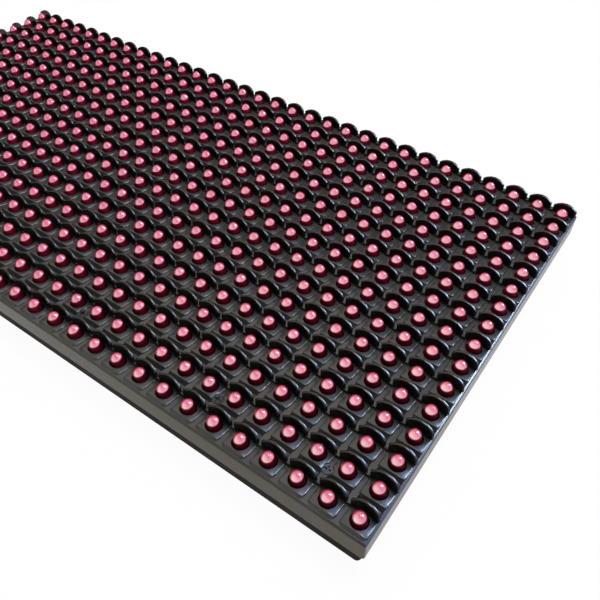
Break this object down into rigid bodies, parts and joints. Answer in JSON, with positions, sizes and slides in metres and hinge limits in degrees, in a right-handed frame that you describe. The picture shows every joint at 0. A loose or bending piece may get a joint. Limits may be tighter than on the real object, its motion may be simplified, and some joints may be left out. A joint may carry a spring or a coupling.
{
  "type": "led display module",
  "caption": "Flat LED matrix display module: black face mask with a curved hood over every red lamp, driver board, and open back frame with tapped inserts and cable sockets.",
  "frame": {"origin": "centre of the module's outline, on the plane that the back frame rests on", "axes": "+X along the lamp rows, +Y up the display, so hoods lie on the +Y side of their lamps, +Z out of its face"},
  "size_m": [0.32, 0.16, 0.0223],
  "materials": {
    "mask_plastic": "satin moulded black",
    "board_laminate": "green solder mask",
    "frame_plastic": "fine-grained moulded black",
    "screw_steel": "blackened zinc",
    "insert_brass": "turned",
    "header_plastic": "moulded black",
    "header_gold": "gold flash",
    "socket_nylon": "natural nylon",
    "power_tin": "tinned",
    "chip_epoxy": "moulding compound",
    "lead_tin": "tinned",
    "array_ceramic": "glazed",
    "capacitor_ceramic": "fired ceramic",
    "can_aluminium": "drawn",
    "base_plastic": "moulded black",
    "lamp_epoxy": "clear red epoxy"
  },
  "bodies": {
    "root": {"front_mask": "mask_plastic", "circuit_board": "board_laminate", "back_frame": "frame_plastic", "mask_screws": "screw_steel", "mounting_inserts": "insert_brass", "input_shroud": "header_plastic", "input_pins": "header_gold", "output_shroud": "header_plastic", "output_pins": "header_gold", "power_socket": "socket_nylon", "power_pins": "power_tin", "driver_chips": "chip_epoxy", "driver_leads": "lead_tin", "buffer_chips": "chip_epoxy", "buffer_leads": "lead_tin", "row_switches": "chip_epoxy", "row_switch_leads": "lead_tin", "column_resistors": "array_ceramic", "bypass_capacitors": "capacitor_ceramic", "capacitor_cans": "can_aluminium", "capacitor_bases": "base_plastic", "lamp_row_1": "lamp_epoxy", "lamp_row_2": "lamp_epoxy", "lamp_row_3": "lamp_epoxy", "lamp_row_4": "lamp_epoxy", "lamp_row_5": "lamp_epoxy", "lamp_row_6": "lamp_epoxy", "lamp_row_7": "lamp_epoxy", "lamp_row_8": "lamp_epoxy", "lamp_row_9": "lamp_epoxy", "lamp_row_10": "lamp_epoxy", "lamp_row_11": "lamp_epoxy", "lamp_row_12": "lamp_epoxy", "lamp_row_13": "lamp_epoxy", "lamp_row_14": "lamp_epoxy", "lamp_row_15": "lamp_epoxy", "lamp_row_16": "lamp_epoxy"}
  },
  "joints": []
}
